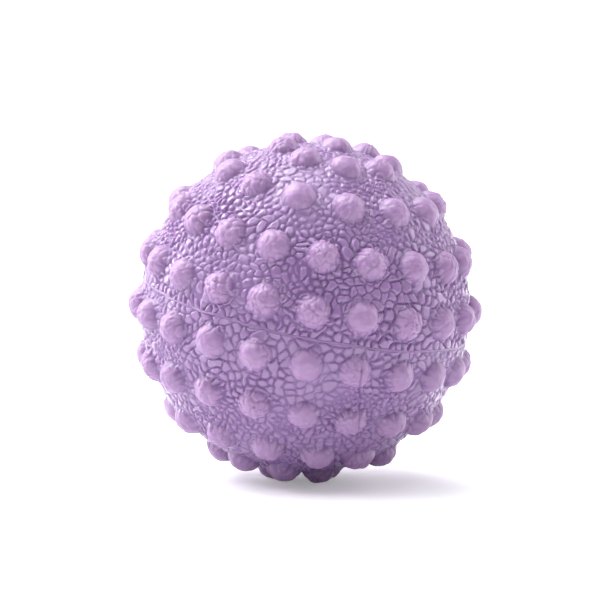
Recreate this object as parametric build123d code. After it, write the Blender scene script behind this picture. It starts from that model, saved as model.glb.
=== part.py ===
from build123d import *
from math import atan2, cos, degrees, radians, sin
import os

# Nubbed massage ball: two moulded half shells cemented together round a stepped rim.
# Millimetres, +Z up, origin at the ball's centre. The ball lies as it does on a table: on its
# bottom nub and two nubs of the ring round that one, so its mould axis leans away from +Z.

# The ball
BALL_DIAMETER = 45.0    # across the tips of opposite nubs
NUB_HEIGHT = 1.55       # from the skin to a nub's tip
WALL = 4.5              # skin to cavity
TIP_RADIUS = BALL_DIAMETER / 2
SKIN_RADIUS = TIP_RADIUS - NUB_HEIGHT
CAVITY_RADIUS = SKIN_RADIUS - WALL

# A nub is half a sphere, its flat side sunk in the skin
NUB_SPHERE_RADIUS = 2.35

# Rings of nubs, from the parting plane to the pole, which has one nub of its own:
# degrees from the parting plane, number of nubs, and azimuth of one nub about the mould axis
UPPER_RINGS = [(9.5, 20, 1.5), (29, 18, 11), (50, 13, 4), (70.5, 8, 11)]
LOWER_RINGS = [(9.5, 20, 2.5), (29, 18, 16), (50, 13, 14.5), (70.5, 8, 10)]

# Stepped joint: the upper rim's lip sits inside the lower rim's step
STEP_RADIUS = (SKIN_RADIUS + CAVITY_RADIUS) / 2
LIP_LENGTH = 1.2
BOND = 0.3              # thickness of the cement, everywhere in the joint
BEAD = 0.2              # how far the cement stands out of the skin and into the cavity


def nub_directions(rings, side):
    """Unit vectors to every nub of one half: side is 1 for the upper half and -1 for the lower."""
    directions = [Vector(0, 0, side)]
    for latitude, count, azimuth in rings:
        level = radians(latitude)
        for i in range(count):
            turn = radians(azimuth + 360 * i / count)
            directions.append(Vector(cos(level) * cos(turn), cos(level) * sin(turn), side * sin(level)))
    return directions


def nub(direction):
    """One nub: a dome that points away from the ball's centre."""
    base = Plane(origin=direction * (TIP_RADIUS - NUB_SPHERE_RADIUS), z_dir=direction)
    on_base = (Align.CENTER, Align.CENTER, Align.MIN)
    return base.location * Sphere(NUB_SPHERE_RADIUS, arc_size1=0, align=on_base)


def rim_point(radius, height):
    """The point on a sphere of this radius, in the XZ plane, at this height near the rim."""
    return ((radius**2 - height**2) ** 0.5, height)


def half_shell(rings, side, outer_z, step_radius, inner_z):
    """One half: a spherical wall with a stepped rim, and its nubs.

    outer_z is the height of the rim's outer land, and inner_z that of its inner land.
    """
    pole_out = (0, side * SKIN_RADIUS)
    pole_in = (0, side * CAVITY_RADIUS)
    with BuildSketch(Plane.XZ) as section:
        with BuildLine():
            outer = RadiusArc(pole_out, rim_point(SKIN_RADIUS, outer_z), side * SKIN_RADIUS)
            inner = RadiusArc(rim_point(CAVITY_RADIUS, inner_z), pole_in, -side * CAVITY_RADIUS)
            Polyline(outer @ 1, (step_radius, outer_z), (step_radius, inner_z), inner @ 0)
            Line(inner @ 1, outer @ 0)
        make_face()
    wall = revolve(section.sketch, Axis.Z)
    return wall.fuse(*[nub(direction) for direction in nub_directions(rings, side)])


def seam_bond():
    """The cement between the rims: it follows the step and ends in a rounded bead at both edges."""
    half = BOND / 2
    with BuildSketch(Plane.XZ) as section:
        with BuildLine():
            top_out = rim_point(SKIN_RADIUS, half)
            low_out = rim_point(SKIN_RADIUS, -half)
            top_in = rim_point(CAVITY_RADIUS, half - LIP_LENGTH)
            low_in = rim_point(CAVITY_RADIUS, -half - LIP_LENGTH)
            ThreePointArc(low_out, (SKIN_RADIUS + BEAD, 0), top_out)
            Polyline(top_out, (STEP_RADIUS - half, half), (STEP_RADIUS - half, half - LIP_LENGTH), top_in)
            ThreePointArc(top_in, (rim_point(CAVITY_RADIUS, -LIP_LENGTH)[0] - BEAD, -LIP_LENGTH), low_in)
            Polyline(low_in, (STEP_RADIUS + half, -half - LIP_LENGTH), (STEP_RADIUS + half, -half), low_out)
        make_face()
    return revolve(section.sketch, Axis.Z)


def resting_pose():
    """The turn that lays the ball on its bottom nub and two nubs of the ring round it."""
    latitude, count, azimuth = LOWER_RINGS[-1]
    lean = atan2(1 - sin(radians(latitude)), cos(radians(latitude)) * cos(radians(180 / count)))
    towards = azimuth - 180 / count
    print(f"mould axis leans {degrees(lean):.2f} degrees from +Z, towards azimuth {towards:.1f}")
    return Rot(0, 0, towards) * Rot(0, degrees(lean), 0) * Rot(0, 0, -towards)


half_bond = BOND / 2
pieces = {
    "upper_half_shell": half_shell(
        UPPER_RINGS, 1, half_bond, STEP_RADIUS - half_bond, half_bond - LIP_LENGTH
    ),
    "lower_half_shell": half_shell(
        LOWER_RINGS, -1, -half_bond, STEP_RADIUS + half_bond, -half_bond - LIP_LENGTH
    ),
    "seam_bond": seam_bond(),
}

os.makedirs("parts", exist_ok=True)
pose = resting_pose()
for name, piece in pieces.items():
    export_step(pose * piece, f"parts/{name}.step")
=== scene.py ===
"""Looks of the nubbed massage ball: two pebbled half shells and the cement bead between them.

The plan of the ball is in millimetres, about the mould axis, as in the part's own source. Every
mesh is made about that axis, turned into the ball's resting pose and scaled to metres at the end.
"""
from math import atan2, cos, pi, radians, sin

import bpy
import numpy as np
from mathutils import Matrix, Vector
from mathutils.kdtree import KDTree

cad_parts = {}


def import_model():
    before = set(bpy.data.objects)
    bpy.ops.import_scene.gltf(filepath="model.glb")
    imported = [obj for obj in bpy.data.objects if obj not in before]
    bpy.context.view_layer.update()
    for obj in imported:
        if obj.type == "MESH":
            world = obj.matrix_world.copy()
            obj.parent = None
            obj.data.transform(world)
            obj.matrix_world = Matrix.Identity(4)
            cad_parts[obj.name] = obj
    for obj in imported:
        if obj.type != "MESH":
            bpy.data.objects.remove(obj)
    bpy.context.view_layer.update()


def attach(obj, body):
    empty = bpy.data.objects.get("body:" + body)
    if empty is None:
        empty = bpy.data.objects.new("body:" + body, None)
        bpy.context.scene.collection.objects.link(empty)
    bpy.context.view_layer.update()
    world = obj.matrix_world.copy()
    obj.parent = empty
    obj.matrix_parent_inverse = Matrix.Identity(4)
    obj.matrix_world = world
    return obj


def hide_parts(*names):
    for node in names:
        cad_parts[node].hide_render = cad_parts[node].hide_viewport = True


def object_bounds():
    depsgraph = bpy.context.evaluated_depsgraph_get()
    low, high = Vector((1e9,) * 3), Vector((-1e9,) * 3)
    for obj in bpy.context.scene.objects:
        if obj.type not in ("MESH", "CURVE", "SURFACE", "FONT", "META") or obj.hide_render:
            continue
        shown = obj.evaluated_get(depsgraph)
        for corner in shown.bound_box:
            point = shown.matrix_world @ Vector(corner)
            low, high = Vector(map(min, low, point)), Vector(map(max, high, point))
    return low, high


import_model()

# ---------------------------------------------------------------- the plan of the ball, in mm
TIP_RADIUS = 22.5
NUB_HEIGHT = 1.55
SHELL_WALL = 4.5
SKIN_RADIUS = TIP_RADIUS - NUB_HEIGHT
CAVITY_RADIUS = SKIN_RADIUS - SHELL_WALL
NUB_SPHERE_RADIUS = 2.35
STEP_RADIUS = (SKIN_RADIUS + CAVITY_RADIUS) / 2
LIP_LENGTH = 1.2
HALF_BOND = 0.15        # half the thickness of the cement
CAVITY_ROWS = 10        # rows of vertices from the cavity's rim to its pole
METRES = 0.001          # metres in a millimetre

# degrees from the parting plane, number of nubs, azimuth of one nub
UPPER_RINGS = [(9.5, 20, 1.5), (29, 18, 11), (50, 13, 4), (70.5, 8, 11)]
LOWER_RINGS = [(9.5, 20, 2.5), (29, 18, 16), (50, 13, 14.5), (70.5, 8, 10)]

# ---------------------------------------------------------------- grids, for a ball of radius 1
WELD_GRID = 1e6         # steps to the radius: vertices that round to the same step are one
AT_RIM = 1e-7           # height below which a vertex is on the rim
AT_POLE = 1e-9          # distance from the axis below which a vertex is at the pole

# ---------------------------------------------------------------- noise
WAVES = 16                  # waves that add up to one noise
WAVE_SPREAD = (0.7, 1.4)    # lengths of the shortest and the longest, as shares of the wavelength
WAVE_SCALE = 3.5            # divides their sum: about four fifths of the noise is from -1 to 1

# ---------------------------------------------------------------- the seam, in mm
# how the parting line strays from its plane: height, number of strays in a round, phase
SEAM_STRAYS = [(0.07, 9, 1), (0.05, 23, 0), (0.03, 41, 2)]
BEAD_SWING = 0.12       # rise and fall of the bead along the seam, before its limits
BEAD_LIMIT = 0.04       # the most that it stands out of the skin or sinks below it
BEAD_WAVELENGTH = 6
BEAD_LACK = 0.4         # 0 leaves half of the seam with a bead, and more leaves less
SUNK_SHADE = 0.2     # darkness of the shade painted where the bead is sunk
SUNK_FADE = 0.03        # heights of the bead, below and above the skin, between which that goes
CEMENT_MATTNESS = 0.8
BEAD_ROOT = 0.3         # from the skin to where the bead starts to narrow
BEAD_SHOULDER = 0.1     # from the skin to the bead's rounded shoulders
INNER_BEAD = 0.2        # how far the cement stands out into the cavity

# ---------------------------------------------------------------- the nubs, in mm
WIDTH_SPREAD = 0.04                     # share by which a nub is wider or narrower than the plan
HEIGHT_SPREAD = 0.12                    # the most that a nub stays lower than the plan
HEIGHTS = (-1, 0.6)                     # lowest and highest nubs, in spreads
SMOOTH_BIAS = 1.5                       # above 1 there are more smooth nubs than folded ones
LUMPS = [(0.04, 1.8), (0.015, 0.75)]    # height and wavelength
FOLD_WARP = (2.0, 0.5)                  # wavelength and amount
FOLD_WAVELENGTH = 1.8
FOLD_WIDTH = 0.16                       # as a share of the waves that place the folds
FOLD_DEPTH = 0.16
NUB_ROUNDING = 0.05                     # where a nub meets the skin
DROP = 4                                # how fast a nub's surface drops away past its sphere
SWELL = (0.08, 2.3, 0.35)               # of the skin: height, distance from the nub's axis, half width
UNEVENNESS = (0.05, 9)                  # of the skin: height and wavelength
EVEN_RIM = 0.6                          # width of the band along the parting plane where that fades in
CAP = (0.05, 0.5)                       # heights over the skin where a nub's own look starts and is full

# ---------------------------------------------------------------- the pebbles, in mm
GRID = 320       # quads along a quarter of the ball's girth
PEBBLES = (0.70, 1.65)                  # width of the smallest and the largest pebbles
SIZE_BIAS = 1.3                         # above 1 there are more small pebbles than large ones
SIZE_PATCHES = (0.16, 14)               # share by which whole patches are coarser, and wavelength
TRIES = 60000                           # random places tried for a pebble in each half
MIXED_TRIES = 7000                      # the first of them, for pebbles of all sizes
PEBBLE_LIMIT = 9000                     # more pebbles than one half can hold
REACH = 0.42                            # from a pebble's middle to its side, as a share of its width
RIM_BAND = 3                            # pebbles this near the parting plane are mirrored across it
DRIFT = (6.0, 0.3)                      # slow bending of the whole grain: wavelength and amount
RAGGED = [(2.2, 0.09), (0.8, 0.04)]     # wandering of the grooves: wavelength and amount
NEIGHBOURS = 12                         # pebbles looked at round each point
CORNER = 0.12                           # rounding of the pebbles' corners
MERGED = 0.04                           # share of the grooves left out, which joins pebbles up
SCRAMBLE = (7, 37, 101)                 # whole numbers that pick the grooves left out
LEFT_OUT = 1.0                          # added to the distance from a groove to leave it out
UPLIFT = 0.05                           # the most that one pebble stands higher or lower than the rest

# for each half: depth and half width of a groove's floor, darkness of the shade painted into it, and the
# share of depth and painted shade that is lost towards the pole
GROOVES = {1: (0.33, 0.055, 0.43, 0.45), -1: (0.25, 0.03, 0.6, 0)}
LOSS = (10, 18)                         # distances from the parting plane where it starts and is full
DEPTH_CHANGE = (0.25, 11)               # share and wavelength
FLOOR_CHANGE = (0.4, 4)                 # share and wavelength
FLANK = 0.32                            # from a groove's floor to the top of its pebble
FOOT = 2.15                             # from a nub's axis to the groove at its foot
FOOT_CHANGE = (0.12, 1.2)               # amount and wavelength
CLIMB = 1.8                             # how much higher the pebbles climb on one side of a nub
CLIMBED = (-0.9, 0.1)                   # distances past the foot where the pebbles start and are full
NUB_GROOVES = (0.18, 0.34)              # share of the grooves kept on a nub, and more if it is folded
SEAM_GROOVES = 0.5                      # share of the grooves kept at the parting plane
SEAM_FADE = (0.05, 0.35)                # distances from the plane: that share, and the whole groove

# ---------------------------------------------------------------- the crease of the lower half
CREASE_AZIMUTH = -71.5                  # degrees, of its line carried on to the parting plane
CREASE_LEAN = 0.35                      # degrees of azimuth for each degree from that plane
CREASE_BENDS = (0.7, 2.5)               # degrees of azimuth, and degrees of latitude per radian
CREASE_START = (4, 7)                   # degrees from the plane: not there yet, and full
CREASE_END = (28, 33)                   # degrees from the plane: still full, and gone
CREASE_HALF_WIDTH = 0.16                # mm
CREASE_DEPTH = 0.2                      # mm

# ---------------------------------------------------------------- the rubber: colours in 8-bit sRGB
RUBBER = (144, 114, 160)
DEEPER_RUBBER = (137, 105, 153)
PALE_PEBBLE = (155, 128, 172)
NUB = (161, 130, 171)
# painted shade: the colour mixed into the grooves, the crease and the sunk parts of the seam
GROOVE_SHADE = (112, 78, 137)
PALE_SHARE = 0.35           # of the pale colour on the palest pebbles
NUB_SHARE = 0.85            # of the nub colour on the nubs
ROUGHNESS = (0.22, 0.4)     # of the glossy and of the matt places
COAT = (0.45, 0.1)          # weight of the clear coat on them

# ---------------------------------------------------------------- light and floor
# name, azimuth and elevation in degrees, strength, and spread in degrees
SUNS = [
    ("key", -60, 45, 0.85, 20),
    ("softbox_left", -124, 42, 2.45, 60),
    ("low_left", -112, 12, 1.4, 30),
    ("glint_left", -110, 50, 1.1, 20),
    ("top_back", -150, 70, 1.4, 40),
    ("top_front", 20, 72, 1.0, 40),
    ("low_right", 115, 20, 1.4, 50),
    ("back", 180, 20, 0.5, 60),
]
SKY = 0.25              # strength of the even light from all round
SKY_SEEN = 1.1          # the same as the camera sees it
FLOOR_GLOW = 0.25       # for the camera alone
FLOOR_SIZE = 60         # metres


def waves(points, wavelength, rng):
    """Smooth noise at each point, mostly from -1 to 1, with bumps about a wavelength apart."""
    directions = rng.normal(size=(WAVES, 3))
    directions /= np.linalg.norm(directions, axis=1)[:, None]
    directions *= 2 * pi / (wavelength * rng.uniform(*WAVE_SPREAD, WAVES))[:, None]
    phases = rng.uniform(0, 2 * pi, WAVES)
    return np.sin(points @ directions.T + phases).sum(1) / WAVE_SCALE


def warp(points, wavelength, amount, rng):
    """The points, each moved by about amount along all three axes."""
    moves = [waves(points, wavelength, rng) for _ in range(3)]
    return points + amount * np.stack(moves, axis=1)


def smooth(low, high, value):
    """0 below low, 1 above high and a smooth step between them."""
    share = np.clip((value - low) / (high - low), 0, 1)
    return share * share * (3 - 2 * share)


def bell(distance, half_width):
    """1 at no distance, falling away smoothly on both sides."""
    return np.exp(-((distance / half_width) ** 2))


# ---------------------------------------------------------------- grids
def hemisphere(across_face):
    """Directions over the half above the equator, its quads, and the rim's vertices in order.

    The top and the upper halves of the sides of a cube are blown up onto the ball.
    """
    across = np.tan(np.linspace(-1, 1, across_face + 1) * pi / 4)
    up = across[across_face // 2:]
    x, y = np.meshgrid(across, across, indexing="ij")
    patches = [np.stack([x, y, np.ones_like(x)], axis=2)]
    y, z = np.meshgrid(across, up, indexing="ij")
    for turn in range(4):
        c, s = round(cos(turn * pi / 2)), round(sin(turn * pi / 2))
        patches.append(np.stack([c - s * y, s + c * y, z], axis=2))
    points, quads, first = [], [], 0
    for patch in patches:
        rows, columns = patch.shape[:2]
        number = first + np.arange(rows * columns).reshape(rows, columns)
        corners = [number[:-1, :-1], number[1:, :-1], number[1:, 1:], number[:-1, 1:]]
        quads.append(np.stack([c.ravel() for c in corners], axis=1))
        points.append(patch.reshape(-1, 3))
        first += rows * columns
    points = np.concatenate(points)
    points /= np.linalg.norm(points, axis=1)[:, None]

    # vertices that two patches share become one
    _, keep, welded = np.unique(
        np.round(points * WELD_GRID).astype(np.int64), axis=0, return_index=True, return_inverse=True
    )
    points = points[keep]
    quads = welded.reshape(-1)[np.concatenate(quads)]
    rim = np.flatnonzero(points[:, 2] < AT_RIM)
    rim = rim[np.argsort(np.arctan2(points[rim, 1], points[rim, 0]))]
    return points, quads, rim


def seam_height(azimuth):
    """How far the parting line strays from its plane, in mm: moulds never meet quite straight."""
    return sum(height * np.sin(count * azimuth + phase) for height, count, phase in SEAM_STRAYS)


# ---------------------------------------------------------------- relief of the skin
def nub_centres(rings):
    """Unit vectors to the nubs of the half above the equator."""
    found = [(0.0, 0.0, 1.0)]
    for latitude, count, azimuth in rings:
        level = radians(latitude)
        for i in range(count):
            turn = radians(azimuth + 360 * i / count)
            found.append((cos(level) * cos(turn), cos(level) * sin(turn), sin(level)))
    return np.array(found)


def nub_surface(points, cosine, own, count, rng):
    """Distance of the nubs' surface from the ball's centre, and how folded each point's nub is.

    The nubs differ a little in width and height, and some are folded like walnuts.
    """
    wide = NUB_SPHERE_RADIUS * (1 + WIDTH_SPREAD * rng.uniform(-1, 1, count))[own]
    tall = (HEIGHT_SPREAD * rng.uniform(*HEIGHTS, count))[own]
    folded = (rng.uniform(0, 1, count) ** SMOOTH_BIAS)[own]
    lumps = sum(height * waves(points, wavelength, rng) for height, wavelength in LUMPS)
    folds = bell(waves(warp(points, *FOLD_WARP, rng), FOLD_WAVELENGTH, rng), FOLD_WIDTH)

    # past the side of its sphere a nub drops away below the skin
    sine = np.sqrt(1 - cosine**2)
    middle = TIP_RADIUS - NUB_SPHERE_RADIUS
    under = wide**2 - (middle * sine) ** 2
    dome = middle * cosine + np.sqrt(np.clip(under, 0, None)) - DROP * np.clip(-under, 0, 1)
    dome += (NUB_SPHERE_RADIUS - wide) + tall + lumps - FOLD_DEPTH * folded * folds
    return dome, folded


def skin_surface(points, arc, quiet, rng):
    """Distance of the skin from the ball's centre: it swells a little towards each nub."""
    height, place, half_width = SWELL
    amount, wavelength = UNEVENNESS
    swollen = SKIN_RADIUS + height * bell(arc - place, half_width)
    return swollen + amount * quiet * waves(points, wavelength, rng)


def pebble_seeds(rng):
    """Middles and widths of the pebbles of one half: all sizes first, then small ones in the gaps."""
    small, large = PEBBLES
    share, wavelength = SIZE_PATCHES
    tries = rng.normal(size=(TRIES, 3))
    tries *= SKIN_RADIUS / np.linalg.norm(tries, axis=1)[:, None]
    tries[:, 2] = abs(tries[:, 2])
    widths = small + (large - small) * rng.uniform(0, 1, len(tries)) ** SIZE_BIAS
    widths = np.where(np.arange(len(tries)) < MIXED_TRIES, widths, small)
    widths *= 1 + share * waves(tries, wavelength, rng)
    seeds = np.empty((len(tries), 4))
    count = 0
    for point, width in zip(tries, widths):
        if point[2] < REACH * width:
            continue
        taken = seeds[:count]
        room = 0.5 * (taken[:, 3] + width)
        if count and (((taken[:, :3] - point) ** 2).sum(1) < room * room).any():
            continue
        seeds[count, :3] = point
        seeds[count, 3] = width
        count += 1
    return seeds[:count, :3], seeds[:count, 3]


def nearest(points, seeds):
    """Numbers of the seeds nearest to each point."""
    tree = KDTree(len(seeds))
    for i, seed in enumerate(seeds.tolist()):
        tree.insert(seed, i)
    tree.balance()
    found = [i for point in points.tolist() for _, i, _ in tree.find_n(point, NEIGHBOURS)]
    return np.array(found).reshape(-1, NEIGHBOURS)


def pebbles(points, side, rng):
    """Distance in mm of each point of the skin from the nearest groove, and its pebble's number.

    Wide pebbles push the grooves round them outwards, so the sizes stay as mixed as they were drawn.
    """
    seeds, widths = pebble_seeds(rng)
    drift_seed = rng.integers(1 << 30)
    every = warp(seeds, *DRIFT, np.random.default_rng(drift_seed))
    if side < 0:
        # seeds mirrored across the parting plane put a groove along it
        near_rim = seeds[:, 2] < RIM_BAND
        every = np.concatenate([every, every[near_rim] * (1, 1, -1)])
        widths = np.concatenate([widths, widths[near_rim]])
    ragged = warp(points, *DRIFT, np.random.default_rng(drift_seed))
    for wavelength, amount in RAGGED:
        ragged = warp(ragged, wavelength, amount, rng)
    numbers = nearest(ragged, every)
    power = ((every[numbers] - ragged[:, None, :]) ** 2).sum(2) - (REACH * widths[numbers]) ** 2
    order = np.argsort(power, axis=1)
    numbers = np.take_along_axis(numbers, order, axis=1)
    power = np.take_along_axis(power, order, axis=1)
    own = every[numbers[:, 0]]
    between = np.linalg.norm(every[numbers[:, 1:]] - own[:, None, :], axis=2)
    gaps = (power[:, 1:] - power[:, :1]) / (2 * between)

    # a number scrambled from the two pebbles' own numbers picks the grooves that are left out
    first, second, whole = SCRAMBLE
    pairs = numbers[:, 1:] * numbers[:, :1] * first + numbers[:, 1:] + numbers[:, :1]
    gaps += np.where(pairs * second % whole < whole * MERGED, LEFT_OUT, 0)
    edge = -CORNER * np.log(np.exp(-gaps / CORNER).sum(1))
    return edge, numbers[:, 0]


def past_foot(points, arc, off_axis, own, count, rng):
    """Distance in mm of each point past the foot of its nub, below 0 on the nub itself.

    The foot is ragged, and the pebbles climb higher on one side of each nub than on the other.
    """
    amount, wavelength = FOOT_CHANGE
    lean = rng.normal(size=(count, 3))
    climb = (off_axis * lean[own]).sum(1) * CLIMB
    return arc + climb + amount * waves(points, wavelength, rng) - FOOT


def crease(directions):
    """How far along a fine moulding crease each point is: 1 in its middle, 0 away from it."""
    bend, slowness = CREASE_BENDS
    latitude = np.degrees(np.arcsin(np.clip(directions[:, 2], -1, 1)))
    azimuth = np.degrees(np.arctan2(directions[:, 1], directions[:, 0]))
    off = azimuth - (CREASE_AZIMUTH + CREASE_LEAN * latitude + bend * np.sin(latitude / slowness))
    across = radians(1) * off * SKIN_RADIUS * np.sqrt(1 - directions[:, 2] ** 2)
    along = smooth(*CREASE_START, latitude) * (1 - smooth(*CREASE_END, latitude))
    return bell(across, CREASE_HALF_WIDTH) * along


def relief(directions, rings, side, rng):
    """Radius of the skin in each direction, and each point's marks for the material, painted shade in
    the grooves among them.
    """
    centres = nub_centres(rings)
    closeness = directions @ centres.T
    own = closeness.argmax(1)
    cosine = np.clip(closeness.max(1), -1, 1)
    arc = np.arccos(cosine) * SKIN_RADIUS
    points = directions * SKIN_RADIUS
    to_seam = points[:, 2]
    quiet = smooth(0, EVEN_RIM, to_seam)

    # nubs and skin as one rounded surface
    dome, folded = nub_surface(points, cosine, own, len(centres), rng)
    skin = skin_surface(points, arc, quiet, rng)
    body = 0.5 * (skin + dome + np.sqrt((skin - dome) ** 2 + NUB_ROUNDING**2)) - NUB_ROUNDING / 2

    # grooves between the pebbles and round the foot of each nub
    edge, pebble = pebbles(points, side, rng)
    depth, floor_width, shade_darkness, lost = GROOVES[side]
    kept = 1 - lost * smooth(*LOSS, to_seam)
    depth = depth * kept * (1 + DEPTH_CHANGE[0] * waves(points, DEPTH_CHANGE[1], rng))
    floor_width = floor_width * (1 + FLOOR_CHANGE[0] * waves(points, FLOOR_CHANGE[1], rng))
    foot = past_foot(points, arc, directions - centres[own], own, len(centres), rng)
    edge = np.where(foot > 0, np.minimum(edge, foot), edge)
    up_flank = np.clip((edge - floor_width) / FLANK, 0, 1)
    groove = 1 - np.sqrt(1 - (1 - up_flank) ** 2)

    # they are shallower on the nubs and at the parting line
    pebbled = smooth(*CLIMBED, foot)
    on_nub = NUB_GROOVES[0] + NUB_GROOVES[1] * folded
    groove *= on_nub + (1 - on_nub) * pebbled
    groove *= SEAM_GROOVES + (1 - SEAM_GROOVES) * smooth(*SEAM_FADE, to_seam)
    lift = (rng.uniform(-1, 1, PEBBLE_LIMIT) * UPLIFT)[pebble] * pebbled * quiet
    radius = body - depth * groove + lift * (1 - groove)
    if side < 0:
        line = crease(directions)
        radius -= CREASE_DEPTH * line
        # the crease takes painted shade too
        groove = np.maximum(groove, line)

    cap = smooth(*CAP, body - SKIN_RADIUS)
    tint = rng.uniform(0, 1, PEBBLE_LIMIT)[pebble] * pebbled
    # shade painted into the floors of the grooves
    painted_shade = shade_darkness * kept * groove**2
    return radius, {"groove": painted_shade, "cap": cap, "tint": tint, "matt": np.maximum(cap, groove**2)}


# ---------------------------------------------------------------- pieces
def resting_pose():
    """The turn that lays the ball on its bottom nub and two nubs of the ring round it."""
    latitude, count, azimuth = LOWER_RINGS[-1]
    lean = atan2(1 - sin(radians(latitude)), cos(radians(latitude)) * cos(pi / count))
    towards = radians(azimuth) - pi / count
    about_z = Matrix.Rotation(towards, 3, "Z")
    return about_z @ Matrix.Rotation(lean, 3, "Y") @ about_z.inverted()


def piece(name, points, faces, marks):
    """A smooth-shaded mesh object from points in mm about the mould axis.

    Each mark holds a number for each of the first points. The other points have 0.
    """
    turned = points @ np.array(resting_pose()).T * METRES
    mesh = bpy.data.meshes.new(name)
    mesh.from_pydata(turned.tolist(), [], faces)
    for label, values in marks.items():
        attribute = mesh.attributes.new(label, "FLOAT", "POINT")
        padded = np.zeros(len(points), dtype=np.float32)
        padded[:len(values)] = values
        attribute.data.foreach_set("value", padded)
    mesh.shade_smooth()
    mesh.update()
    obj = bpy.data.objects.new(name, mesh)
    bpy.context.scene.collection.objects.link(obj)
    return obj


def bridge(first, second):
    """Quads between two rows of vertices that both go once round."""
    return np.stack([first, np.roll(first, -1), np.roll(second, -1), second], axis=1)


def half_shell_inside(side):
    """Radius, height, and share of the parting line's strays, from the rim's outer edge inwards.

    The rim is stepped, and the cavity is a plain half sphere with its pole left out.
    """
    bottom = HALF_BOND - side * LIP_LENGTH
    step = STEP_RADIUS - side * HALF_BOND
    profile = [(step, HALF_BOND, 1), (step, bottom, 1)]
    profile.append(((CAVITY_RADIUS**2 - bottom**2) ** 0.5, bottom, 1))
    low = np.arcsin(bottom / CAVITY_RADIUS)
    for angle in np.linspace(low, pi / 2, CAVITY_ROWS)[1:-1]:
        profile.append((CAVITY_RADIUS * cos(angle), CAVITY_RADIUS * sin(angle), 0))
    return profile


def lifted(directions, azimuth, side):
    """The directions with their rim moved up to the parting line, half the cement's thickness off.

    The move fades out towards the pole.
    """
    height = directions[:, 2]
    start = (HALF_BOND + side * seam_height(azimuth)) / SKIN_RADIUS
    raised = height + start * (1 - height) ** 3
    flat = np.hypot(directions[:, 0], directions[:, 1])
    level = np.sqrt(1 - raised**2)
    spread = np.where(flat > AT_POLE, level / np.maximum(flat, AT_POLE), 0)
    return np.stack([directions[:, 0] * spread, directions[:, 1] * spread, raised], axis=1)


def half_shell(name, rings, side, seed):
    """One half as a closed mesh: pebbled skin outside, stepped rim, plain cavity inside."""
    directions, quads, rim = hemisphere(GRID)
    azimuth = np.arctan2(directions[:, 1], directions[:, 0])
    directions = lifted(directions, azimuth, side)
    radius, marks = relief(directions, rings, side, np.random.default_rng(seed))
    rows = [directions * radius[:, None]]

    # rim and cavity, row by row from the outside to the pole
    turn = azimuth[rim]
    stray = side * seam_height(turn)
    faces = [quads[:, ::side]]
    last = rim
    count = len(directions)
    for r, z, share in half_shell_inside(side):
        row = count + np.arange(len(rim))
        rows.append(np.stack([r * np.cos(turn), r * np.sin(turn), z + share * stray], axis=1))
        faces.append(bridge(row, last)[:, ::side])
        last = row
        count += len(rim)
    rows.append(np.array([[0, 0, CAVITY_RADIUS]]))
    fan = np.stack([last, np.full(len(rim), count), np.roll(last, -1)], axis=1)[:, ::side]
    points = np.concatenate(rows) * (1, 1, side)
    every = np.concatenate(faces).tolist() + fan.tolist()
    return piece(name, points, every, marks)


def seam_bead(name):
    """The cement ring: it fills the stepped joint, and its outer edge is the raised seam line."""
    rng = np.random.default_rng(3)
    count = 4 * GRID
    turn = np.linspace(-pi, pi, count, endpoint=False)
    around = np.stack([np.cos(turn), np.sin(turn), 0 * turn], axis=1)
    swing = BEAD_SWING * (waves(around * SKIN_RADIUS, BEAD_WAVELENGTH, rng) - BEAD_LACK)
    proud = np.clip(swing, -BEAD_LIMIT, BEAD_LIMIT)
    # shade painted where the bead sinks below the skin
    sunk_shade = SUNK_SHADE - SUNK_SHADE * smooth(-SUNK_FADE, SUNK_FADE, proud)
    h, lip = HALF_BOND, LIP_LENGTH
    root = SKIN_RADIUS - BEAD_ROOT
    shoulder = SKIN_RADIUS - BEAD_SHOULDER
    cavity = CAVITY_RADIUS
    inner, outer = STEP_RADIUS - h, STEP_RADIUS + h

    # radius, height, and share of the bead's own height
    profile = [
        (root, h, 0), (shoulder, h, 0.5), (SKIN_RADIUS, 0.6 * h, 0.9), (SKIN_RADIUS, 0, 1.0),
        (SKIN_RADIUS, -0.6 * h, 0.9), (shoulder, -h, 0.5), (root, -h, 0),
        (outer, -h, 0), (outer, -h - lip, 0), (cavity, -h - lip, 0),
        (cavity - INNER_BEAD, -lip, 0), (cavity, h - lip, 0), (inner, h - lip, 0), (inner, h, 0),
    ]
    rows, faces = [], []
    for i, (r, z, share) in enumerate(profile):
        radius = r + share * proud
        height = z + seam_height(turn)
        rows.append(np.stack([radius * np.cos(turn), radius * np.sin(turn), height], axis=1))
        here = i * count + np.arange(count)
        following = (i + 1) % len(profile) * count + np.arange(count)
        faces.append(bridge(following, here))
    points = np.concatenate(rows)
    marks = {"groove": np.tile(sunk_shade, len(profile)), "matt": np.full(len(points), CEMENT_MATTNESS)}
    return piece(name, points, np.concatenate(faces).tolist(), marks)


# ---------------------------------------------------------------- materials
def srgb(r, g, b):
    """Linear colour with alpha from 8-bit sRGB."""
    def linear(v):
        v /= 255
        return v / 12.92 if v <= 0.04045 else ((v + 0.055) / 1.055) ** 2.4
    return (linear(r), linear(g), linear(b), 1)


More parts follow.
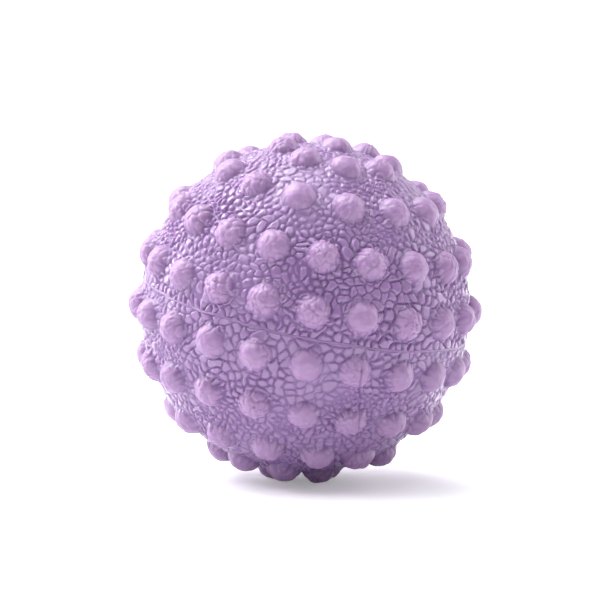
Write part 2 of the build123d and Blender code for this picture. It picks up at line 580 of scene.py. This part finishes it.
class Nodes:
    """Short calls to build a material's node tree."""

    def __init__(self, name):
        self.material = bpy.data.materials.new(name)
        self.material.use_nodes = True
        self.tree = self.material.node_tree
        self.shader = self.tree.nodes["Principled BSDF"]

    def add(self, kind, **settings):
        node = self.tree.nodes.new(kind)
        for key, value in settings.items():
            setattr(node, key, value)
        return node

    def link(self, a, b):
        self.tree.links.new(a, b)

    def set(self, name, value):
        """A socket of the shader that is the same all over."""
        self.shader.inputs[name].default_value = value

    def attribute(self, name):
        return self.add("ShaderNodeAttribute", attribute_name=name).outputs["Fac"]

    def noise(self, wavelength_mm, detail=2):
        node = self.add("ShaderNodeTexNoise")
        node.inputs["Scale"].default_value = 1000 / wavelength_mm
        node.inputs["Detail"].default_value = detail
        place = self.add("ShaderNodeTexCoord")
        self.link(place.outputs["Object"], node.inputs["Vector"])
        return node.outputs["Fac"]

    def ramp(self, value, low, high):
        """value from 0 to 1, spread over low to high."""
        node = self.add("ShaderNodeMapRange")
        node.inputs["To Min"].default_value = low
        node.inputs["To Max"].default_value = high
        self.link(value, node.inputs["Value"])
        return node.outputs["Result"]

    def mix(self, factor, first, second):
        """Colour from first to second: each of the three is a socket or a plain value."""
        node = self.add("ShaderNodeMix", data_type="RGBA")
        sockets = [node.inputs[i] for i in (0, 6, 7)]
        for socket, value in zip(sockets, (factor, first, second)):
            if hasattr(value, "is_output"):
                self.link(value, socket)
            else:
                socket.default_value = value
        return node.outputs[2]


def soft_rubber(name):
    """Soft purple rubber, a little see-through: with shade painted into the grooves, and pinker on the
    nubs.
    """
    n = Nodes(name)
    body = n.mix(n.noise(6.0), srgb(*RUBBER), srgb(*DEEPER_RUBBER))
    body = n.mix(n.ramp(n.attribute("tint"), 0, PALE_SHARE), body, srgb(*PALE_PEBBLE))
    body = n.mix(n.ramp(n.attribute("cap"), 0, NUB_SHARE), body, srgb(*NUB))
    # painted shade in the grooves, the crease and where the seam's bead is sunk
    body = n.mix(n.attribute("groove"), body, srgb(*GROOVE_SHADE))
    n.link(body, n.shader.inputs["Base Color"])
    n.link(n.ramp(n.attribute("matt"), *ROUGHNESS), n.shader.inputs["Roughness"])
    n.link(n.ramp(n.attribute("matt"), *COAT), n.shader.inputs["Coat Weight"])
    bump = n.add("ShaderNodeBump")
    bump.inputs["Distance"].default_value = 0.08 * METRES
    bump.inputs["Strength"].default_value = 0.3
    n.link(n.noise(0.5, 4), bump.inputs["Height"])
    n.link(bump.outputs["Normal"], n.shader.inputs["Normal"])
    n.set("Subsurface Weight", 0.75)
    n.set("Subsurface Radius", (1.0, 0.55, 0.9))
    n.set("Subsurface Scale", 0.8 * METRES)
    n.set("IOR", 1.5)
    n.set("Coat Roughness", 0.2)
    return n.material


def pale_floor(name):
    """White ground, which glows a little for the camera alone so that the ball's shadow stays faint."""
    n = Nodes(name)
    white = n.mix(n.noise(40.0), (0.93, 0.93, 0.94, 1), (0.91, 0.91, 0.92, 1))
    n.link(white, n.shader.inputs["Base Color"])
    n.set("Roughness", 0.9)
    n.set("Emission Color", (1, 1, 1, 1))
    seen = n.add("ShaderNodeLightPath").outputs["Is Camera Ray"]
    n.link(n.ramp(seen, 0, FLOOR_GLOW), n.shader.inputs["Emission Strength"])
    return n.material


# ---------------------------------------------------------------- build
shell_material = soft_rubber("soft_purple_rubber")
cement_material = soft_rubber("soft_purple_cement")

upper = half_shell("upper_half_shell_skin", UPPER_RINGS, side=1, seed=11)
lower = half_shell("lower_half_shell_skin", LOWER_RINGS, side=-1, seed=12)
seam = seam_bead("seam_bond_ring")
for obj, node, slot, material in (
    (upper, "upper_half_shell", "shell", shell_material),
    (lower, "lower_half_shell", "shell", shell_material),
    (seam, "seam_bond", "cement", cement_material),
):
    obj.data.materials.append(material)
    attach(obj, "root")
    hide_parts(node)


# ---------------------------------------------------------------- studio
def floor():
    """A wide pale floor just under the lowest nub."""
    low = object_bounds()[0][2]
    bpy.ops.mesh.primitive_plane_add(size=FLOOR_SIZE, location=(0, 0, low))
    obj = bpy.context.object
    obj.name = "studio_floor"
    obj.data.materials.append(pale_floor("pale_floor"))


def sun(name, azimuth, elevation, strength, spread):
    """Even soft light from one side: azimuth 0 comes from the viewer, 90 from the right."""
    light = bpy.data.lights.new(name, "SUN")
    light.energy = strength
    light.angle = radians(spread)
    obj = bpy.data.objects.new(name, light)
    a, e = radians(azimuth), radians(elevation)
    source = Vector((sin(a) * cos(e), -cos(a) * cos(e), sin(e)))
    obj.rotation_euler = source.to_track_quat("Z", "Y").to_euler()
    bpy.context.scene.collection.objects.link(obj)


def world():
    """Faint even light from all round, which the camera itself sees as the white of the floor."""
    scene_world = bpy.data.worlds.new("studio")
    scene_world.use_nodes = True
    tree = scene_world.node_tree
    background = tree.nodes["Background"]
    background.inputs["Color"].default_value = (0.95, 0.96, 1.0, 1)
    light_path = tree.nodes.new("ShaderNodeLightPath")
    seen = tree.nodes.new("ShaderNodeMapRange")
    seen.inputs["To Min"].default_value = SKY
    seen.inputs["To Max"].default_value = SKY_SEEN
    tree.links.new(light_path.outputs["Is Camera Ray"], seen.inputs["Value"])
    tree.links.new(seen.outputs["Result"], background.inputs["Strength"])
    bpy.context.scene.world = scene_world


def camera():
    """A long lens, a little above the ball, aimed so that the ball sits as in the photograph."""
    distance, elevation, roll = 1.35, radians(8.1), radians(1.0)
    metres_across = 0.0762
    aside, above = -0.00065, 0.00095    # from the ball's centre to the middle of the picture
    sensor = 36
    data = bpy.data.cameras.new("camera")
    data.sensor_width = sensor
    data.lens = sensor * distance / metres_across
    data.clip_end = 200
    obj = bpy.data.objects.new("camera", data)
    toward = Vector((0, -cos(elevation), sin(elevation)))
    turn = toward.to_track_quat("Z", "Y").to_matrix() @ Matrix.Rotation(roll, 3, "Z")
    right, up = turn.col[0], turn.col[1]
    aim = right * aside + up * above
    obj.matrix_world = Matrix.Translation(aim + toward * distance) @ turn.to_4x4()
    bpy.context.scene.collection.objects.link(obj)
    bpy.context.scene.camera = obj


floor()
world()
for settings in SUNS:
    sun(*settings)
camera()
bpy.context.scene.view_settings.view_transform = "Standard"
